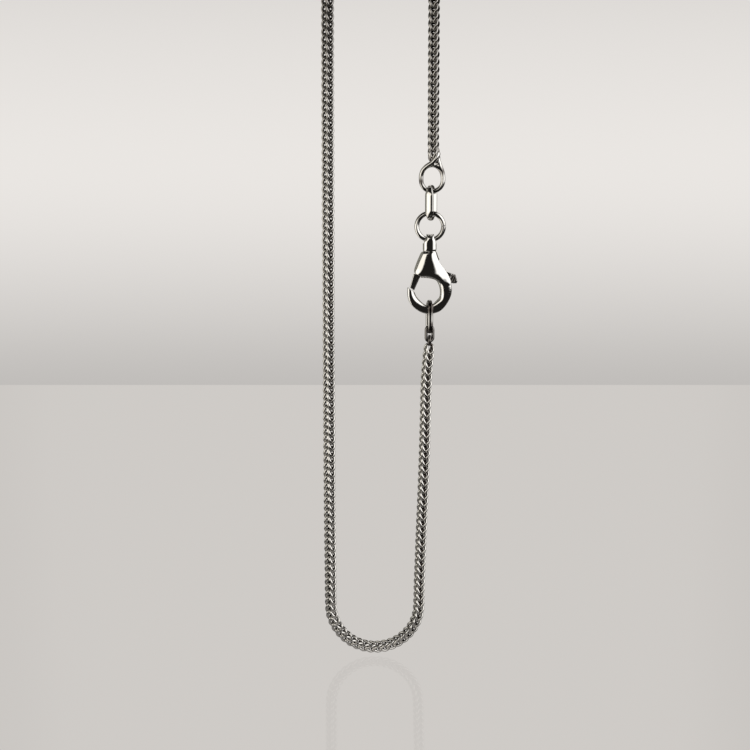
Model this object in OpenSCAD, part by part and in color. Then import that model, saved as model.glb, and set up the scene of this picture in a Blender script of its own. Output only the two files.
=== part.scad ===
// Foxtail chain necklace with a fastened lobster clasp, hanging in a long loop.
// X runs to the right, Y to the back and Z up. The origin is the point under the
// inside of the top bend, where the necklace hangs.

/* [Chain] */
// Width of the woven chain from flat to flat
chain_w = 1.65; // [1.4:0.05:1.9]
// Share of the flat side that is left between the rounded edges
chain_flat = 0.67; // [0.5:0.01:0.8]
// Centre line radius of the bend at the hanging point
top_bend_r = 8.1; // [7.5:0.1:9]
// Centre line radius of the lowest bend
bottom_bend_r = 7.2; // [6.5:0.1:7.6]
// Height of the hanging loop, from the hanging point to the lowest edge
loop_h = 216.3; // [212:0.1:220]
// Wire thickness of the chain's links
chain_wire = 0.42; // [0.36:0.01:0.46]

/* [Rings] */
// Wire thickness of the pinched end ring
end_ring_wire = 0.6; // [0.5:0.05:0.65]
// Centre line radius of the end ring's round part
end_ring_r = 1.8; // [1.6:0.05:2]
// Height of the connector link
connector_h = 5.68; // [5.66:0.02:5.74]
// Depth of the connector link
connector_d = 3; // [2.8:0.1:3.1]
// Width of the connector link's band
connector_band = 1.35; // [1.1:0.05:1.5]
// Thickness of the connector link's band
connector_t = 0.66; // [0.5:0.02:0.66]
// Outer diameter of the jump ring
jump_ring_d = 4.84; // [4.82:0.01:4.86]
// Wire thickness of the jump ring
jump_ring_wire = 0.76; // [0.7:0.02:0.76]
// Height of the oval link in the hook
end_link_h = 4.66; // [4.6:0.02:4.7]
// Width of the oval link in the hook
end_link_w = 2.9; // [2.85:0.05:3]
// Wire thickness of the oval link in the hook
end_link_wire = 0.6; // [0.5:0.02:0.6]
// Height of the small link at the chain's lower end
first_link_h = 3.3; // [3.3:0.02:3.36]
// Width of the small link at the chain's lower end
first_link_w = 1.5; // [1.5:0.05:1.6]
// Wire thickness of the small link
first_link_wire = 0.38; // [0.34:0.01:0.38]

/* [Clasp] */
// Thickness of the lever
lever_t = 1.05; // [0.9:0.05:1.15]
// Clearance on each side of the lever in its slot
lever_gap = 0.15; // [0.1:0.01:0.2]
// Diameter of the rivet
rivet_d = 0.7; // [0.6:0.05:0.8]
// Radial clearance of the lever on the rivet
rivet_fit = 0.03; // [0.02:0.01:0.05]
// Thickness of the wall over the eye
eye_t = 0.34; // [0.3:0.02:0.4]

/* [Hidden] */
silver = [0.75, 0.75, 0.77];
dark_silver = [0.6, 0.6, 0.62];
smooth = 64;

// Places, in the plane of the necklace
lowest_z = -loop_h;
chain_diagonal = (1 + chain_flat) * chain_w / sqrt(2);
top_bend_z = chain_diagonal / 2 - top_bend_r;
bottom_bend_x = -1.02;
bottom_bend_z = lowest_z + chain_w / 2 + bottom_bend_r;
upper_end = [8.05, lowest_z + 81.95];
lower_end = [7.64, lowest_z + 51.35];
end_ring_at = [7.87, lowest_z + 77.27];
connector_at = [7.6, lowest_z + 73.78];
jump_ring_at = [7.59, lowest_z + 70.1];
clasp_at = [7.7, lowest_z + 59.8];
end_link_at = [7.64, lowest_z + 56.2];
first_link_at = [7.64, lowest_z + 53.25];

// Sweeps: a section's first axis is carried along the route from the normal
// that it starts with, so the section never twists by itself
function unit(v) = v / norm(v);
function to_xz(x, z) = [x, 0, z];
function heading(route, i, closed) =
    let (last = len(route) - 1)
    let (before = i > 0 ? i - 1 : closed ? last : 0)
    let (after = i < last ? i + 1 : closed ? 0 : last)
    unit(route[after] - route[before]);
function carried(normal, t) = unit(normal - (normal * t) * t);
function normals(route, closed, list) =
    let (i = len(list))
    i == len(route) ? list
        : normals(route, closed, concat(list, [carried(list[i - 1], heading(route, i, closed))]));
function first_normal(route, closed) =
    let (t = heading(route, 0, closed))
    unit(cross([0, 1, 0], t));
function section_ring(at, t, normal, section) =
    let (binormal = cross(t, normal))
    [for (p = section) at + p[0] * normal + p[1] * binormal];
function turned(section, angle) = [
    for (p = section)
        [p[0] * cos(angle) - p[1] * sin(angle), p[0] * sin(angle) + p[1] * cos(angle)]
];
// A power of 1 gives an ellipse, and a smaller one fills its corners
function oval(a, b, sides, power = 1) = [
    for (k = [0:sides - 1])
        let (c = cos((k + 0.5) * 360 / sides), s = sin((k + 0.5) * 360 / sides))
        [a * sign(c) * pow(abs(c), power), b * sign(s) * pow(abs(s), power)]
];

// The skin of a row of rings that all have the same number of corners
module skin(rings, closed = false) {
    sides = len(rings[0]);
    count = len(rings);
    walls = [
        for (i = [0:count - (closed ? 1 : 2)], j = [0:sides - 1])
            let (a = i * sides + j)
            let (b = i * sides + (j + 1) % sides)
            let (d = ((i + 1) % count) * sides + j)
            let (c = ((i + 1) % count) * sides + (j + 1) % sides)
            each [[a, d, c], [a, c, b]]
    ];
    ends = closed ? [] : [
        [for (j = [0:sides - 1]) j],
        [for (j = [sides - 1:-1:0]) (count - 1) * sides + j]
    ];
    polyhedron(points = [for (r = rings) each r], faces = concat(walls, ends), convexity = 8);
}

// A section for each point of the route. A closed route shares out the angle
// that the carried normal is off by when it comes round to the start.
module sweep(route, sections, closed = false) {
    start = first_normal(route, closed);
    list = normals(route, closed, [start]);
    t0 = heading(route, 0, closed);
    back = carried(list[len(list) - 1], t0);
    miss = closed ? atan2(cross(back, start) * t0, back * start) : 0;
    skin([
        for (i = [0:len(route) - 1])
            section_ring(
                route[i],
                heading(route, i, closed),
                list[i],
                turned(sections[i], miss * i / len(route))
            )
    ], closed);
}

// A flat plate in the necklace's plane, half of it on each side of Y = 0
module plate(thickness) {
    rotate([90, 0, 0])
        linear_extrude(height = thickness, center = true)
            children();
}

// The chain's route: up from the end ring, over the top bend, down the long
// strand, round the lowest bend and up to the clasp
upper_strand = [
    for (p = [upper_end, [8.02, -132], [8, -124], [7.98, -112], [7.98, -98], [7.98, -82], [8, -66],
              [8.03, -50], [8.07, -34], [8.1, -20]])
        to_xz(p[0], p[1])
];
top_bend = [
    for (angle = [0:15:180])
        to_xz(top_bend_r * cos(angle), top_bend_z + top_bend_r * sin(angle))
];
long_strand = [
    for (p = [[-8.12, -20], [-8.14, -36], [-8.15, -54], [-8.15, -72], [-8.16, -90], [-8.2, -108],
              [-8.27, -126], [-8.32, -144], [-8.35, -162], [-8.35, -178], [-8.33, -190], [-8.27, -201]])
        to_xz(p[0], p[1])
];
bottom_bend = [
    for (angle = [180:15:360])
        to_xz(bottom_bend_x + bottom_bend_r * cos(angle), bottom_bend_z + bottom_bend_r * sin(angle))
];
clasp_strand = [
    for (p = [[6.25, -204.5], [6.36, -201], [6.47, -197.5], [6.6, -193.5], [6.75, -189.5], [6.87, -185.5],
              [6.98, -181], [7.05, -177], [7.12, -173], [7.24, -169.5], [7.45, -166.8], lower_end])
        to_xz(p[0], p[1])
];
chain_route = concat(upper_strand, top_bend, long_strand, bottom_bend, clasp_strand);

// The chain turns on itself as it hangs: edge-on at the top, flat-on lower down
function chain_turn(i) =
    let (count = len(upper_strand) + len(top_bend))
    let (fall = max(0, min(1, (i - count) / (len(long_strand) - 1))))
    i < count ? 45 : 45 * (1 - fall) - (i > count + len(long_strand) ? 25 : 0);
// Its last links are smaller at both ends
function chain_taper(i) =
    let (from_end = min(i, len(chain_route) - 1 - i))
    from_end == 0 ? 0.72 : from_end == 1 ? 0.92 : 1;

function chain_section() =
    let (half = chain_w / 2, flat = chain_flat * chain_w / 2)
    [
        [half, flat], [flat, half], [-flat, half], [-half, flat],
        [-half, -flat], [-flat, -half], [flat, -half], [half, -flat]
    ];

module foxtail_chain() {
    color(silver) {
        sweep(chain_route, [
            for (i = [0:len(chain_route) - 1])
                turned(chain_section() * chain_taper(i), chain_turn(i))
        ]);
        translate([end_ring_at[0] + apex_x, 0, end_ring_at[1] + apex_z - apex_r + 0.58])
            rotate([90, 0, 0])
                end_eye(0.58);
        translate([first_link_at[0], 0, first_link_at[1] - first_link_h / 2 + first_link_wire / 2 - 0.06])
            rotate([0, 90, 0])
                end_eye(0.56);
    }
}

// The chain's last link at an end
module end_eye(radius) {
    rotate_extrude($fn = smooth)
        translate([radius, 0])
            circle(d = chain_wire, $fn = 16);
}

// End ring: a round ring whose top is pinched into a neck, and the neck's two
// limbs cross over each other and close over the chain's last link
apex_x = 0.7;
apex_z = 4.1;
apex_r = 0.56;
round_limbs = [
    for (angle = [165:15:375])
        [end_ring_r * cos(angle), 0, end_ring_r * sin(angle)]
];
// A row for each point of the neck: across, depth, height
right_limb = [
    [1.73, 0.03, 0.95], [1.64, 0.08, 1.5], [1.42, 0.16, 2.05], [1.12, 0.28, 2.6], [0.87, 0.42, 3.15]
];
left_limb = [
    [0.48, -0.42, 3.2], [0.06, -0.28, 2.72], [-0.5, -0.16, 2.28], [-1.12, -0.08, 1.86],
    [-1.58, -0.03, 1.35], [-1.75, 0, 0.88]
];
apex_limb = [
    for (angle = [0:30:180])
        [apex_x, apex_r * cos(angle), apex_z - apex_r + apex_r * sin(angle)]
];
end_ring_route = concat(round_limbs, right_limb, apex_limb, left_limb);

module end_ring() {
    color(silver)
        translate([end_ring_at[0], 0, end_ring_at[1]])
            sweep(
                end_ring_route,
                [for (p = end_ring_route) oval(end_ring_wire / 2, end_ring_wire / 2, 10)],
                true
            );
}

// A closed link with two straight limbs and round ends, standing in the XZ plane
function link_route(h, w) =
    let (r = w / 2, straight = (h - w) / 2)
    concat(
        [for (angle = [0:15:180]) to_xz(r * cos(angle), straight + r * sin(angle))],
        [for (angle = [180:15:360]) to_xz(r * cos(angle), -straight + r * sin(angle))]
    );

module oval_link(h, w, across, thick, turn) {
    route = link_route(h - thick, w - thick);
    section = across == thick
        ? oval(thick / 2, thick / 2, 10)
        : oval(thick / 2, across / 2, 12, 0.75);
    rotate([0, 0, turn])
        sweep(route, [for (p = route) section], true);
}

connector_turn = 79;
module connector_link() {
    color(silver)
        translate([connector_at[0], 0, connector_at[1]])
            oval_link(connector_h, connector_d, connector_band, connector_t, connector_turn);
}

module jump_ring() {
    color(silver)
        translate([jump_ring_at[0], 0, jump_ring_at[1]])
            rotate([90, 0, 0])
                rotate_extrude($fn = smooth)
                    translate([(jump_ring_d - jump_ring_wire) / 2, 0])
                        circle(d = jump_ring_wire, $fn = 32);
}

end_link_turn = 110;
module end_link() {
    color(silver)
        translate([end_link_at[0], 0, end_link_at[1]])
            oval_link(end_link_h, end_link_w, end_link_wire, end_link_wire, end_link_turn);
}

first_link_turn = end_link_turn - 90;
module first_link() {
    color(silver)
        translate([first_link_at[0], 0, first_link_at[1]])
            oval_link(first_link_h, first_link_w, first_link_wire, first_link_wire, first_link_turn);
}

// Clasp: all its points are measured from the middle of the hook's opening
module at_clasp() {
    translate([clasp_at[0], 0, clasp_at[1]])
        children();
}

// The pear, a row for each level: height, left edge, right edge, half depth
pear_rows = [
    [2.0, -2.60, 3.00, 1.25],
    [2.6, -2.70, 2.80, 1.34],
    [3.1, -2.68, 2.55, 1.38],
    [3.6, -2.58, 2.22, 1.38],
    [4.6, -2.28, 1.70, 1.32],
    [5.5, -1.92, 1.27, 1.20],
    [6.2, -1.62, 1.05, 1.08],
    [6.45, -1.42, 0.88, 0.95]
];
function pear_ring(row) =
    let (middle = (row[1] + row[2]) / 2)
    [for (p = oval((row[2] - row[1]) / 2, row[3], 24, 0.66)) [middle + p[0], p[1], row[0]]];

// The hook's bow, a row for each station from the tip round to the pear: place
// across, height, half width, half depth
bow_rows = [
    [-3.10, 0.95, 0.44, 0.60],
    [-3.07, 0.40, 0.48, 0.62],
    [-3.00, -0.10, 0.52, 0.66],
    [-2.84, -0.62, 0.53, 0.68],
    [-2.48, -1.25, 0.52, 0.70],
    [-1.87, -1.98, 0.52, 0.70],
    [-0.95, -2.61, 0.53, 0.70],
    [-0.02, -2.87, 0.55, 0.70],
    [0.82, -2.46, 0.60, 0.72],
    [1.50, -1.75, 0.68, 0.78],
    [2.05, -0.98, 0.79, 0.86],
    [2.36, -0.22, 0.91, 0.95],
    [2.43, 0.40, 0.95, 1.03],
    [2.30, 1.15, 0.96, 1.12],
    [2.02, 1.90, 0.98, 1.20],
    [1.55, 2.75, 0.95, 1.22],
    [0.95, 3.60, 0.90, 1.10]
];
bow_route = [for (row = bow_rows) to_xz(row[0], row[1])];

// The eye at the clasp's top, seen from the side and from the front
eye_bottom = 7.2;
eye_arch_z = 8.2;
eye_hole_r = 0.62;
eye_bed = 5.9;
eye_x = -0.23;
eye_top_w = 1.24;
eye_base_w = 2.1;
module arch(radius, bottom, top) {
    points = concat(
        [[radius, bottom]],
        [for (angle = [0:15:180]) [radius * cos(angle), top + radius * sin(angle)]],
        [[-radius, bottom]]
    );
    polygon(points);
}
module eye() {
    intersection() {
        rotate([90, 0, 90])
            linear_extrude(height = 4, center = true)
                difference() {
                    arch(eye_hole_r + eye_t, eye_bed, eye_arch_z);
                    arch(eye_hole_r, eye_bottom, eye_arch_z);
                }
        plate(4)
            polygon([
                [eye_x - eye_base_w / 2, eye_bed],
                [eye_x + eye_base_w / 2, eye_bed],
                [eye_x + eye_base_w / 2, eye_bottom + 0.1],
                [eye_x + eye_top_w / 2, eye_arch_z + 0.2],
                [eye_x + eye_top_w / 2, eye_arch_z + 2],
                [eye_x - eye_top_w / 2, eye_arch_z + 2],
                [eye_x - eye_top_w / 2, eye_arch_z + 0.2],
                [eye_x - eye_base_w / 2, eye_bottom + 0.1]
            ]);
    }
}

// The hook's opening under the pear, a leaning oval
opening_at = [-0.75, 0.1];
opening_r = [2.22, 2.36];
module opening() {
    polygon([
        for (angle = [0:11.25:348.75])
            [opening_at[0] + opening_r[0] * cos(angle), opening_at[1] + opening_r[1] * sin(angle)]
    ]);
}
module gate_exit() {
    polygon([[-3.2, 3.33], [-1.55, 2.47], [-1.55, 0], [-3.2, 0]]);
}

// The lever turns on the rivet; its outline is at rest, with the gate shut
pivot = [-0.45, 4.35];
boss_r = 0.85;
gate_tip = [[-3.24, 0.76], [-2.56, 0.24]];
module lever_outline() {
    translate(pivot)
        circle(r = boss_r, $fn = smooth);
    polygon(concat(
        [[-0.95, 5], [-2.2, 3.45], [-2.2, 2.93], [-2.66, 2.88]],
        gate_tip,
        [[-1.66, 2.27], [-0.35, 3.6], [0.2, 3.78], [1.95, 2.92], [3.05, 1.62], [3.46, 1.38]],
        [[4.05, 1.36], [4.28, 1.71], [3.96, 2.74], [2.54, 3.21], [1.9, 3.75], [0, 5]]
    ));
}

// The slot leaves room for the whole swing of the lever, and the tip of the
// hook is cut back along the gate's slanted end
module lever_room() {
    translate(pivot)
        circle(r = boss_r + lever_gap, $fn = smooth);
    polygon([
        [-1.1, 5.15], [-2.36, 3.5], [-2.36, 3.02], [-2.9, 2.9], [-2.9, 1.6], [-0.3, 1.6],
        [0.1, 3.6], [1.85, 2.74], [2.9, 1.5], [3.2, 1.22], [4.8, 1], [4.8, 4.6], [1.9, 5], [-0.4, 5.3]
    ]);
}
tip_gap = 0.17;
module tip_cut() {
    along = unit(gate_tip[1] - gate_tip[0]);
    away = [along[1], -along[0]] * tip_gap;
    polygon([
        gate_tip[0] - along + away, gate_tip[1] + along + away,
        gate_tip[1] + along + [0, 1.8], gate_tip[0] - along + [0, 1]
    ]);
}

module clasp_body() {
    color(silver)
        at_clasp()
            difference() {
                union() {
                    difference() {
                        skin([for (row = pear_rows) pear_ring(row)]);
                        plate(5)
                            opening();
                        plate(5)
                            gate_exit();
                    }
                    sweep(bow_route, [for (row = bow_rows) oval(row[2], row[3], 12, 0.85)]);
                    eye();
                }
                plate(lever_t + 2 * lever_gap)
                    lever_room();
                plate(5)
                    tip_cut();
                translate([pivot[0], 0, pivot[1]])
                    rotate([90, 0, 0])
                        cylinder(d = rivet_d + 0.02, h = 6, center = true, $fn = smooth);
            }
}

module clasp_lever() {
    color(dark_silver)
        at_clasp()
            plate(lever_t)
                difference() {
                    lever_outline();
                    translate(pivot)
                        circle(d = rivet_d + 2 * rivet_fit, $fn = smooth);
                }
}

rivet_l = 2.5;
module clasp_rivet() {
    color(silver)
        at_clasp()
            translate([pivot[0], 0, pivot[1]])
                rotate([90, 0, 0])
                    cylinder(d = rivet_d, h = rivet_l, center = true, $fn = smooth);
}

foxtail_chain();
end_ring();
connector_link();
jump_ring();
clasp_body();
clasp_lever();
clasp_rivet();
end_link();
first_link();
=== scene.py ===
"""Foxtail chain necklace with a fastened lobster clasp, hanging in a long loop over a pale floor.

Lengths in the tables are millimetres in the CAD frame: X to the right, Y to the back, Z up,
with the origin at the hanging point under the inside of the top bend.
"""
import math

import bpy
import numpy as np
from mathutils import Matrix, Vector


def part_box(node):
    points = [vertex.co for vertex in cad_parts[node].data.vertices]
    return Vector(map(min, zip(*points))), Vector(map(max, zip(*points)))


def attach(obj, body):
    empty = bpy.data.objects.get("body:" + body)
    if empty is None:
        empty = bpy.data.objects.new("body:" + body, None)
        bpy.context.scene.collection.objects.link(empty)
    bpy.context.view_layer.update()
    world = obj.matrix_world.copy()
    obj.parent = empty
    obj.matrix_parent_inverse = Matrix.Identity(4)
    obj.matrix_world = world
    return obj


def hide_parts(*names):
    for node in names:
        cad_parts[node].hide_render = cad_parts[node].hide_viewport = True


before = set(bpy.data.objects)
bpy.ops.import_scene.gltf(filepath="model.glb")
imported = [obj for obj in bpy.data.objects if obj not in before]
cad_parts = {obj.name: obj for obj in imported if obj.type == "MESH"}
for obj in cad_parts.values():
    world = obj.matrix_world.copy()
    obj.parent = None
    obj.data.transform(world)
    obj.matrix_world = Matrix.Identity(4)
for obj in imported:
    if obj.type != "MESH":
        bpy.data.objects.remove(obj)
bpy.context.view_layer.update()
MM = 0.001

# Camera: the point it looks at, its distance, its angle over the horizon, its lens
CAMERA_AIM = (-1.0, 0.0, -169.85)
CAMERA_DISTANCE = 238.9
CAMERA_PITCH = math.radians(10.85)
CAMERA_LENS = 72.0
CAMERA_SENSOR = 36.0


def make_camera():
    """The camera straight in front of the necklace, a little over it, as in the photo."""
    data = bpy.data.cameras.new("photo_camera")
    data.lens, data.sensor_width = CAMERA_LENS, CAMERA_SENSOR
    data.clip_start, data.clip_end = 0.01, 10.0
    camera = bpy.data.objects.new("photo_camera", data)
    bpy.context.scene.collection.objects.link(camera)
    back = Vector((0, -math.cos(CAMERA_PITCH), math.sin(CAMERA_PITCH)))
    camera.location = (Vector(CAMERA_AIM) + back * CAMERA_DISTANCE) * MM
    camera.rotation_euler = (math.pi / 2 - CAMERA_PITCH, 0, 0)
    bpy.context.scene.camera = camera


make_camera()

# Curves


def catmull(points, closed, steps):
    """A smooth curve through the points, with a number of steps from each point to the next."""
    p = np.asarray(points, float)
    if closed:
        p = np.vstack([p[-1], p, p[0], p[1]])
    else:
        p = np.vstack([2 * p[0] - p[1], p, 2 * p[-1] - p[-2]])
    u = (np.arange(steps) / steps)[:, None]
    out = []
    for a, b, c, d in zip(p[:-3], p[1:-2], p[2:-1], p[3:]):
        out.append(0.5 * (2 * b + (c - a) * u + (2 * a - 5 * b + 4 * c - d) * u**2
                          + (3 * b - a - 3 * c + d) * u**3))
    out = np.vstack(out)
    return out if closed else np.vstack([out, p[-2]])


def arc_length(points):
    """The length of the path up to each of its points."""
    return np.concatenate([[0], np.cumsum(np.linalg.norm(np.diff(points, axis=0), axis=1))])


def at_even_steps(points, closed, count):
    """The same path with this number of points, the same distance apart."""
    p = np.vstack([points, points[:1]]) if closed else np.asarray(points, float)
    s = arc_length(p)
    wanted = np.linspace(0, s[-1], count + 1)[:-1] if closed else np.linspace(0, s[-1], count)
    return np.stack([np.interp(wanted, s, p[:, k]) for k in range(p.shape[1])], axis=1)


def unit(v):
    return v / np.maximum(np.linalg.norm(v, axis=-1, keepdims=True), 1e-12)


# Where the first cross axis of a tube points at its start, as near as its heading lets it
FIRST_NORMAL = np.array([0.0, 1.0, 0.0])


def carried_frames(path, closed):
    """Two cross axes along a path. The first starts near the Y axis and is carried on without twisting."""
    if closed:
        heading = unit(np.roll(path, -1, 0) - np.roll(path, 1, 0))
    else:
        heading = unit(np.gradient(path, axis=0))
    normals = [unit(FIRST_NORMAL - heading[0] * np.dot(FIRST_NORMAL, heading[0]))]
    for t in heading[1:]:
        normals.append(unit(normals[-1] - t * np.dot(normals[-1], t)))
    normals = np.array(normals)
    if closed:
        t = heading[0]
        back = unit(normals[-1] - t * np.dot(normals[-1], t))
        miss = math.atan2(np.dot(np.cross(back, normals[0]), t), np.dot(back, normals[0]))
        turn = miss * np.arange(len(path)) / len(path)
        side = np.cross(heading, normals)
        normals = normals * np.cos(turn)[:, None] + side * np.sin(turn)[:, None]
    return normals, np.cross(heading, normals)


def ease(x, width):
    """From 0 to 1 round x = 0, over the width."""
    t = np.clip(0.5 + x / width, 0, 1)
    return t * t * (3 - 2 * t)


# Meshes


def grid_faces(rows, sides, closed):
    """Quads of a tube with its rings one after the other."""
    i = np.arange(rows if closed else rows - 1)[:, None]
    j = np.arange(sides)[None, :]
    a, b = i * sides + j, i * sides + (j + 1) % sides
    c, d = ((i + 1) % rows) * sides + (j + 1) % sides, ((i + 1) % rows) * sides + j
    return np.stack([a, b, c, d], axis=-1).reshape(-1, 4)


def make_mesh(name, points, faces, extra=()):
    """A smooth-shaded object from points in mm; faces is an array of quads, extra other faces."""
    mesh = bpy.data.meshes.new(name)
    loops = np.concatenate([faces.ravel(), *[np.asarray(f) for f in extra]]).astype(np.int32)
    sizes = np.array([4] * len(faces) + [len(f) for f in extra], np.int32)
    mesh.vertices.add(len(points))
    mesh.vertices.foreach_set("co", (np.asarray(points) * MM).astype(np.float32).ravel())
    mesh.loops.add(len(loops))
    mesh.loops.foreach_set("vertex_index", loops)
    mesh.polygons.add(len(sizes))
    mesh.polygons.foreach_set("loop_start", np.concatenate([[0], np.cumsum(sizes)[:-1]]).astype(np.int32))
    mesh.polygons.foreach_set("use_smooth", np.ones(len(sizes), bool))
    mesh.update(calc_edges=True)
    mesh.validate()
    piece = bpy.data.objects.new(name, mesh)
    bpy.context.scene.collection.objects.link(piece)
    return piece


def paint_clean_and_lit(piece, clean_and_lit):
    """How free of tarnish and of painted shade the metal is at each point, 0 to 1."""
    layer = piece.data.attributes.new("clean_and_lit", "FLOAT", "POINT")
    layer.data.foreach_set("value", np.asarray(clean_and_lit, np.float32).ravel())


def round_section(sides, power=1.0):
    """Two coordinates of the corners of a section of radius 1; a power under 1 makes it fuller."""
    angle = (np.arange(sides) + 0.5) * 2 * np.pi / sides
    c, s = np.cos(angle), np.sin(angle)
    return np.sign(c) * np.abs(c) ** power, np.sign(s) * np.abs(s) ** power


def tube(path, radius, closed, sides):
    """Points, faces and end caps of a round tube."""
    normal, side = carried_frames(path, closed)
    c, s = round_section(sides)
    rings = path[:, None] + radius * (c[None, :, None] * normal[:, None] + s[None, :, None] * side[:, None])
    caps = [] if closed else [np.arange(sides)[::-1], (len(path) - 1) * sides + np.arange(sides)]
    return rings.reshape(-1, 3), grid_faces(len(path), sides, closed), caps


# The chain's route, the same points as in the CAD source: across, height
CHAIN_W = 1.65
LOWEST_Z = -216.3
TOP_BEND = (0.0, -7.126, 8.1)
BOTTOM_BEND = (-1.02, -208.275, 7.2)
UPPER_END = (8.05, -134.35)
LOWER_END = (7.64, -164.95)
UPPER_STRAND = [UPPER_END, (8.02, -132), (8, -124), (7.98, -112), (7.98, -98), (7.98, -82), (8, -66),
                (8.03, -50), (8.07, -34), (8.1, -20)]
LONG_STRAND = [(-8.12, -20), (-8.14, -36), (-8.15, -54), (-8.15, -72), (-8.16, -90), (-8.2, -108),
               (-8.27, -126), (-8.32, -144), (-8.35, -162), (-8.35, -178), (-8.33, -190), (-8.27, -201)]
CLASP_STRAND = [(6.25, -204.5), (6.36, -201), (6.47, -197.5), (6.6, -193.5), (6.75, -189.5), (6.87, -185.5),
                (6.98, -181), (7.05, -177), (7.12, -173), (7.24, -169.5), (7.45, -166.8), LOWER_END]


def bend(centre_x, centre_z, radius, start, end):
    """Points of an arc of the route, every 15 degrees."""
    return [(centre_x + radius * math.cos(a), centre_z + radius * math.sin(a))
            for a in np.radians(np.arange(start, end + 1, 15))]


# One link of the chain: a ring with a pinched waist, folded up so that its two
# loops stand side by side. A row for each point of a quarter, waist to loop
# top: across, depth, height
LINK_QUARTER = [
    (0.00, 0.20, 0.00), (0.35, 0.20, 0.08), (0.62, 0.22, 0.33), (0.64, 0.38, 0.62), (0.60, 0.57, 0.95),
    (0.43, 0.62, 1.28), (0.25, 0.52, 1.60), (0.18, 0.30, 1.77), (0.17, 0.00, 1.81),
]
LINK_WIRE = 0.45
LINK_PITCH = 1.137
LINK_SIDES, LINK_STEPS = 8, 2
# Turn of the links about the chain, degrees, at places along the route in mm
TURNS = [(0, 73), (25, 73), (255, 143), (266, 136), (288, 134), (297, 141), (306, 141), (318, 134),
         (340, 122), (352, 120), (385, 109), (430, 108)]
# The metal is darker in the chain's middle, with tarnish in its hollows and painted shade inside the chain,
# and clean and lit past these distances from it, in mm
CLEAN_AND_LIT_FROM, CLEAN_AND_LIT_TO = 0.40, 0.66
# Painted shade at places along the route in mm: the share of its clean colour that the chain keeps there
PAINTED_SHADE_ALONG = [(0, 0.70), (10, 0.62), (22, 0.44), (60, 0.75), (215, 0.75), (255, 0.36), (262, 0.46),
               (270, 0.66), (290, 0.86), (305, 0.97), (320, 0.94), (400, 0.95), (420, 1.15)]
# Link 0 begins this many pitches before the route's start, and one more link begins before it.
# The last links leave some of the route's end free in mm, and then one stands out over it
LINK_SHIFT, LINKS_FROM = 0.225, -1
END_LEFT_FREE, LINKS_OVER = 0.4, 1
# The links are narrower near the route's end: distances from it in mm, and shares of the full width
TAPER_AT, TAPER = (0, 1.5), (0.9, 1.0)
# The chain's pieces, and the share of its links at which each of them ends
CHAIN_PIECES = [("chain_top_right", 0.27), ("chain_left_upper", 0.52), ("chain_left_lower", 0.77),
                ("chain_bend_and_clasp_side", 1.0)]
# Steps between two points of the tables above, the route's own step in mm, and how many of those to each side
# even out its direction
ROUTE_FINE, ROUTE_STEP, ROUTE_EVENED = 16, 0.1, 10


def link_ring():
    """Points and faces of one link in its own frame."""
    quarter = np.array(LINK_QUARTER)
    quarter[:, :2] *= (CHAIN_W - LINK_WIRE) / 2 / quarter[:, :2].max()
    right = np.vstack([quarter * (1, -1, 1), quarter[::-1][1:]])
    left = (right * (-1, 1, 1))[::-1][1:-1]
    path = catmull(np.vstack([right, left]), True, LINK_STEPS)
    return tube(path, LINK_WIRE / 2, True, LINK_SIDES)


class Route:
    """The chain's centre line with its direction and turn at any length along it."""

    def __init__(self):
        points = [*UPPER_STRAND, *bend(*TOP_BEND, 0, 180), *LONG_STRAND, *bend(*BOTTOM_BEND, 180, 360),
                  *CLASP_STRAND]
        fine = catmull(points, False, ROUTE_FINE)
        self.length = arc_length(fine)[-1]
        count = int(self.length / ROUTE_STEP) + 1
        self.points = at_even_steps(fine, False, count)
        self.s = np.linspace(0, self.length, count)
        step = np.gradient(self.points, axis=0)
        angle = np.unwrap(np.arctan2(step[:, 1], step[:, 0]))
        window = 2 * ROUTE_EVENED + 1
        self.angle = np.convolve(np.pad(angle, ROUTE_EVENED, mode="edge"), np.ones(window) / window, "valid")
        self.turn = np.radians(np.interp(self.s, *zip(*TURNS)))

    def place(self, along, across, depth):
        """Points of the frame from lengths along the route and offsets across it."""
        x, z, a, turn = (np.interp(along, self.s, v) for v in (*self.points.T, self.angle, self.turn))
        over = along - np.clip(along, 0, self.length)
        u = across * np.cos(turn) - depth * np.sin(turn)
        v = across * np.sin(turn) + depth * np.cos(turn)
        return np.stack([x + over * np.cos(a) + u * np.sin(a), v,
                         z + over * np.sin(a) - u * np.cos(a)], axis=-1)


route = Route()


def chain_piece(name, first, last):
    """The links from one number to another, as one mesh."""
    points, faces, _ = link_ring()
    k = np.arange(first, last)
    start = (k - LINK_SHIFT) * LINK_PITCH
    along = start[:, None] + points[:, 2][None, :]
    taper = np.interp(route.length - along, TAPER_AT, TAPER)
    all_points = route.place(along, points[:, 0] * taper, points[:, 1] * taper).reshape(-1, 3)
    all_faces = (faces[None] + (k - first)[:, None, None] * len(points)).reshape(-1, 4)
    piece = make_mesh(name, all_points, all_faces)
    # Tarnish and painted shade in the chain's hollows, by each point's distance from its middle
    from_middle = np.abs(points[:, :2]).max(axis=1)
    clean_and_lit = ease(from_middle - (CLEAN_AND_LIT_FROM + CLEAN_AND_LIT_TO) / 2, CLEAN_AND_LIT_TO - CLEAN_AND_LIT_FROM)
    # The hollows' colour, times the painted shade along the route
    paint_clean_and_lit(piece, clean_and_lit[None, :] * np.interp(along, *zip(*PAINTED_SHADE_ALONG)))
    return piece


link_count = int((route.length - END_LEFT_FREE) / LINK_PITCH) + LINKS_OVER
cuts = [LINKS_FROM, *[int(link_count * share) for _, share in CHAIN_PIECES]]
chain_pieces = [chain_piece(name, first, last)
                for (name, _), first, last in zip(CHAIN_PIECES, cuts, cuts[1:])]

# Implicit solids: a field is below 0 inside, and near the distance in mm outside


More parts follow.
